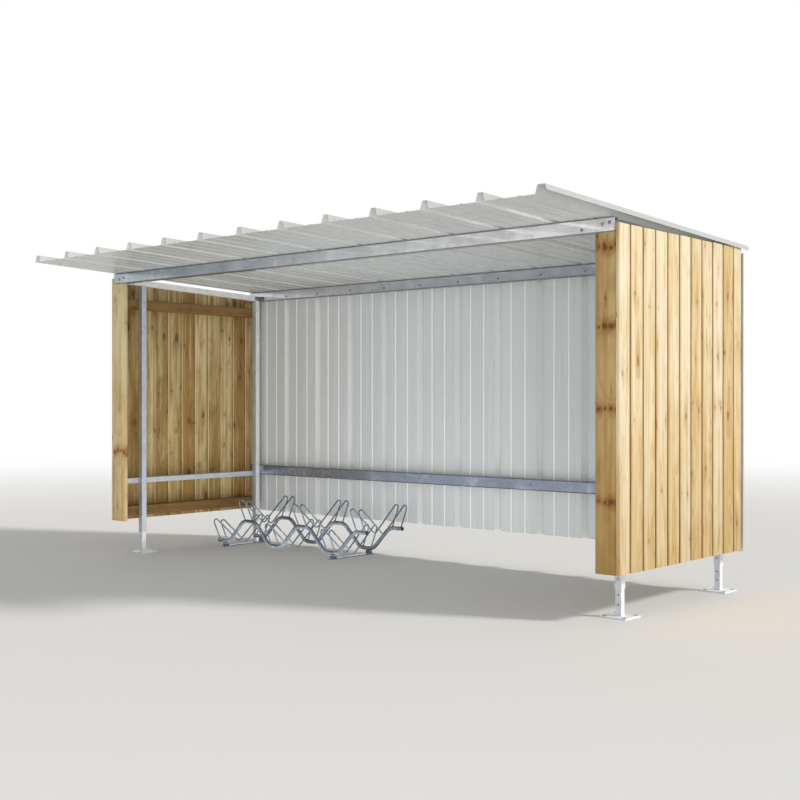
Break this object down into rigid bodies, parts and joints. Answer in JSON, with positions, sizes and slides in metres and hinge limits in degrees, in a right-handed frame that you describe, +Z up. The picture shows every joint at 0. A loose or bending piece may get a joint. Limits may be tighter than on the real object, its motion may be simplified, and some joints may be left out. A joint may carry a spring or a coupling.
{
  "type": "cycle shelter",
  "caption": "Open-fronted cycle shelter: boarded end panels on a galvanised frame, ribbed steel roof and rear wall, with a two-level wheel rack inside",
  "frame": {"origin": "centre of the footprint's bounding box, on the floor", "axes": "+X along the length, to the right seen from the open front; -Y out of the open front; +Z up"},
  "size_m": [4.1077, 2.05, 2.0365],
  "materials": {
    "board_left": "planed softwood with knots, honey coloured",
    "board_right": "planed softwood with knots, honey coloured",
    "return_timber": "planed softwood",
    "batten_timber": "planed softwood",
    "roof_steel": "grey-white coil coating, satin",
    "wall_steel": "grey-white coil coating, satin",
    "post_zinc": "hot-dip galvanised",
    "foot_zinc": "hot-dip galvanised",
    "beam_zinc": "galvanised, faint spangle",
    "cleat_zinc": "galvanised",
    "rack_wire_zinc": "galvanised wire",
    "rack_tube_zinc": "galvanised tube"
  },
  "bodies": {
    "root": {"front_beam": "beam_zinc", "left_front_cleat": "cleat_zinc", "left_front_foot": "foot_zinc", "left_front_post": "post_zinc", "left_lower_batten": "batten_timber", "left_rear_cleat": "cleat_zinc", "left_rear_foot": "foot_zinc", "left_rear_post": "post_zinc", "left_return_board": "return_timber", "left_side_boards": "board_left", "left_side_rail": "beam_zinc", "left_top_rail": "beam_zinc", "left_upper_batten": "batten_timber", "rack_front_tube": "rack_tube_zinc", "rack_left_floor_bar": "rack_tube_zinc", "rack_rear_tube": "rack_tube_zinc", "rack_right_floor_bar": "rack_tube_zinc", "rack_wires_1": "rack_wire_zinc", "rack_wires_2": "rack_wire_zinc", "rack_wires_3": "rack_wire_zinc", "rack_wires_4": "rack_wire_zinc", "rack_wires_5": "rack_wire_zinc", "rack_wires_6": "rack_wire_zinc", "rear_beam": "beam_zinc", "rear_mid_rail": "beam_zinc", "right_front_cleat": "cleat_zinc", "right_front_foot": "foot_zinc", "right_front_post": "post_zinc", "right_lower_batten": "batten_timber", "right_rear_cleat": "cleat_zinc", "right_rear_foot": "foot_zinc", "right_rear_post": "post_zinc", "right_return_board": "return_timber", "right_side_boards": "board_right", "right_side_rail": "beam_zinc", "right_top_rail": "beam_zinc", "right_upper_batten": "batten_timber", "roof_sheet_1": "roof_steel", "roof_sheet_2": "roof_steel", "roof_sheet_3": "roof_steel", "roof_sheet_4": "roof_steel", "wall_sheet_1": "wall_steel", "wall_sheet_2": "wall_steel", "wall_sheet_3": "wall_steel", "wall_sheet_4": "wall_steel"}
  },
  "joints": []
}
